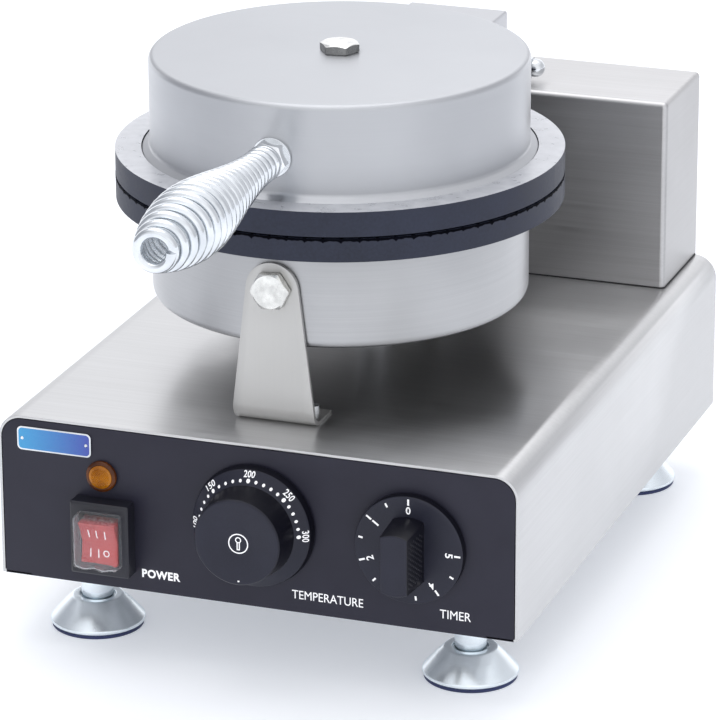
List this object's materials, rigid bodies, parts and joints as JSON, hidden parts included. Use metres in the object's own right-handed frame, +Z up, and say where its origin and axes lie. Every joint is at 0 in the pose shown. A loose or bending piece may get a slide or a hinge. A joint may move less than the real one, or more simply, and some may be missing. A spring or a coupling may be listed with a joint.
{
  "type": "waffle cone maker",
  "caption": "Electric waffle cone maker: steel base with switch, lamp, thermostat and timer knobs, round grooved plates and a hinged domed lid with a coil handle.",
  "frame": {"origin": "floor level, at the middle of the overall footprint from the handle's end to the back panel's screws", "axes": "+Z up, +Y from the control panel to the back, +X to the right seen from the front"},
  "size_m": [0.26, 0.4548, 0.2794],
  "materials": {
    "base_shell": "satin brushed",
    "rear_box": "satin brushed",
    "dome_cover": "satin brushed",
    "lower_pan": "satin brushed",
    "lid_arm": "satin brushed",
    "bottom_cover": "satin brushed",
    "rear_panel": "satin brushed",
    "box_cover": "satin brushed",
    "front_panel": "satin black",
    "name_plate": "plain engraved plate",
    "foot_cups": "zinc plated, bright",
    "foot_posts": "zinc plated, bright",
    "foot_nuts": "zinc plated, bright",
    "dome_bolt": "zinc plated, bright",
    "bracket_bolts": "zinc plated, bright",
    "bracket_nuts": "zinc plated, bright",
    "handle_rod": "zinc plated, bright",
    "handle_nuts": "zinc plated, bright",
    "handle_washers": "zinc plated, bright",
    "handle_coil": "zinc plated, bright",
    "hinge_bolt": "zinc plated, bright",
    "hinge_cap_nut": "zinc plated, bright",
    "hinge_washers": "zinc plated, bright",
    "back_screws": "zinc plated, bright",
    "bottom_screws": "zinc plated, bright",
    "bracket_screws": "zinc plated, bright",
    "arm_screws": "zinc plated, bright",
    "clamp_bolt": "zinc plated, bright",
    "conduit_nuts": "zinc plated, bright",
    "foot_pads": "dark blue, matt",
    "lead_grommet": "black, matt",
    "switch_housing": "black, semi-gloss",
    "switch_rocker": "red, translucent",
    "switch_boot": "clear flexible plastic",
    "lamp_lens": "amber, faceted",
    "lamp_body": "amber, gloss",
    "temperature_knob": "black, satin",
    "timer_knob": "black, satin",
    "cable_gland": "black",
    "gland_nut": "black",
    "thermostat_body": "dark moulded",
    "timer_body": "dark moulded",
    "temperature_shaft": "turned",
    "timer_shaft": "turned",
    "sensor_bulb": "turned",
    "pan_conduit": "turned",
    "terminal_block": "ceramic white",
    "hinge_bracket": "pickled sheet",
    "front_bracket": "pickled sheet",
    "rear_bracket": "pickled sheet",
    "upper_clamp": "pickled sheet",
    "lower_clamp": "pickled sheet",
    "hinge_bushings": "turned",
    "upper_plate": "cast, dark coated, bare rim faces",
    "lower_plate": "cast, dark coated, bare rim faces",
    "upper_element": "heat-tinted sheath",
    "lower_element": "heat-tinted sheath",
    "lid_wool": "mineral wool",
    "pan_wool": "mineral wool"
  },
  "bodies": {
    "base": {"base_shell": "base_shell", "rear_box": "rear_box", "lower_pan": "lower_pan", "bottom_cover": "bottom_cover", "rear_panel": "rear_panel", "box_cover": "box_cover", "front_panel": "front_panel", "name_plate": "name_plate", "foot_cups": "foot_cups", "foot_posts": "foot_posts", "foot_nuts": "foot_nuts", "bracket_bolts": "bracket_bolts", "bracket_nuts": "bracket_nuts", "hinge_bolt": "hinge_bolt", "hinge_cap_nut": "hinge_cap_nut", "hinge_washers": "hinge_washers", "back_screws": "back_screws", "bottom_screws": "bottom_screws", "bracket_screws": "bracket_screws", "clamp_bolt": "clamp_bolt", "conduit_nuts": "conduit_nuts", "foot_pads": "foot_pads", "lead_grommet": "lead_grommet", "switch_housing": "switch_housing", "switch_boot": "switch_boot", "lamp_lens": "lamp_lens", "lamp_body": "lamp_body", "cable_gland": "cable_gland", "gland_nut": "gland_nut", "thermostat_body": "thermostat_body", "timer_body": "timer_body", "sensor_bulb": "sensor_bulb", "pan_conduit": "pan_conduit", "terminal_block": "terminal_block", "hinge_bracket": "hinge_bracket", "front_bracket": "front_bracket", "rear_bracket": "rear_bracket", "lower_clamp": "lower_clamp", "hinge_bushings": "hinge_bushings", "lower_plate": "lower_plate", "lower_element": "lower_element", "pan_wool": "pan_wool"},
    "lid": {"dome_cover": "dome_cover", "dome_bolt": "dome_bolt", "upper_plate": "upper_plate", "upper_element": "upper_element", "upper_clamp": "upper_clamp", "lid_wool": "lid_wool", "lid_arm": "lid_arm", "arm_screws": "arm_screws", "handle_rod": "handle_rod", "handle_nuts": "handle_nuts", "handle_washers": "handle_washers", "handle_coil": "handle_coil"},
    "temperature_dial": {"temperature_knob": "temperature_knob", "temperature_shaft": "temperature_shaft"},
    "timer_dial": {"timer_knob": "timer_knob", "timer_shaft": "timer_shaft"},
    "rocker": {"switch_rocker": "switch_rocker"}
  },
  "joints": [
    {"name": "lid_hinge", "type": "hinge", "parent": "base", "child": "lid", "pos_m": [0, 0.18015, 0.2236], "axis": [-1, 0, 0], "range_deg": [0, 90]},
    {"name": "temperature_turn", "type": "hinge", "parent": "base", "child": "temperature_dial", "pos_m": [0.0006, -0.10985, 0.0773], "axis": [0, -1, 0], "range_deg": [-180, 90]},
    {"name": "timer_turn", "type": "hinge", "parent": "base", "child": "timer_dial", "pos_m": [0.0785, -0.10985, 0.0768], "axis": [0, -1, 0], "range_deg": [-270, 0]},
    {"name": "rocker_tip", "type": "hinge", "parent": "base", "child": "rocker", "pos_m": [-0.0756, -0.10785, 0.0622], "axis": [-1, 0, 0], "range_deg": [0, 12]}
  ]
}
